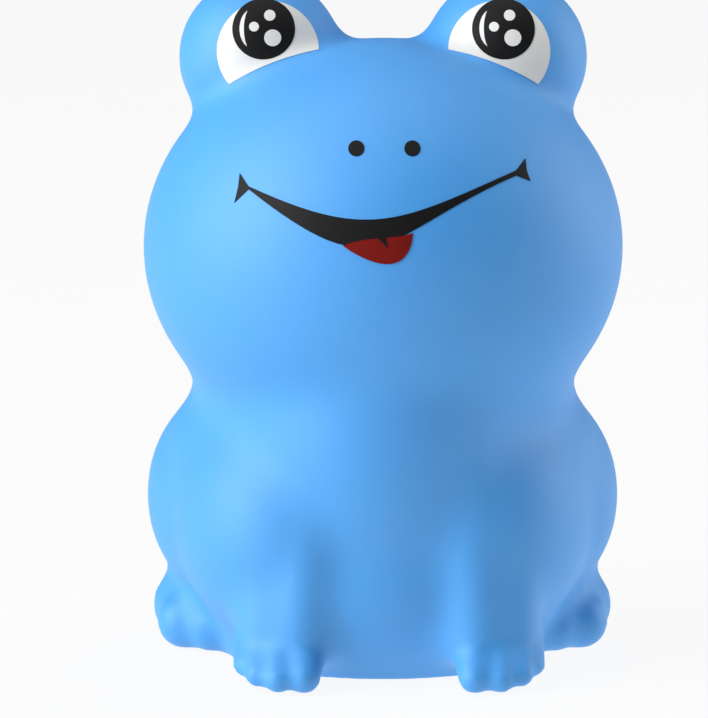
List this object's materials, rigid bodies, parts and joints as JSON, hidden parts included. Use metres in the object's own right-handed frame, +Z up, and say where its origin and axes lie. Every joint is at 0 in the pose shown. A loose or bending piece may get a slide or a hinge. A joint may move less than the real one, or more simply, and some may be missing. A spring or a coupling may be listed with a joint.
{
  "type": "frog squishy",
  "caption": "Soft seated frog figure with bulging eyes and a smiling printed face: a squeezable skin over a slow-rise foam core, closed by a plug in the sole.",
  "frame": {"origin": "centre of the filling plug's lower face, on the table under the figure's middle", "axes": "+Z up, -Y the way the face looks, +X the frog's own left"},
  "size_m": [0.068, 0.062, 0.0974],
  "materials": {
    "skin": "matte soft-touch blue elastomer",
    "plug": "matte blue elastomer",
    "foam": "open-cell slow-rise foam",
    "ink_white": "satin printed ink",
    "ink_black": "satin printed ink",
    "ink_red": "satin printed ink"
  },
  "bodies": {
    "base": {"body_skin": "skin", "foam_core": "foam", "base_plug": "plug"},
    "head": {"head_skin": "skin", "left_eye_white": "ink_white", "right_eye_white": "ink_white", "left_pupil": "ink_black", "right_pupil": "ink_black", "left_eye_glints": "ink_white", "right_eye_glints": "ink_white", "nostrils": "ink_black", "mouth": "ink_black", "tongue": "ink_red", "tongue_crease": "ink_black"}
  },
  "joints": [
    {"name": "head_press", "type": "slide", "parent": "base", "child": "head", "axis": [0, 0, 1], "range_m": [-0.018, 0], "stiffness_N_per_m": 830, "springref_m": 0.001, "deforming": ["body_skin", "foam_core"]}
  ]
}
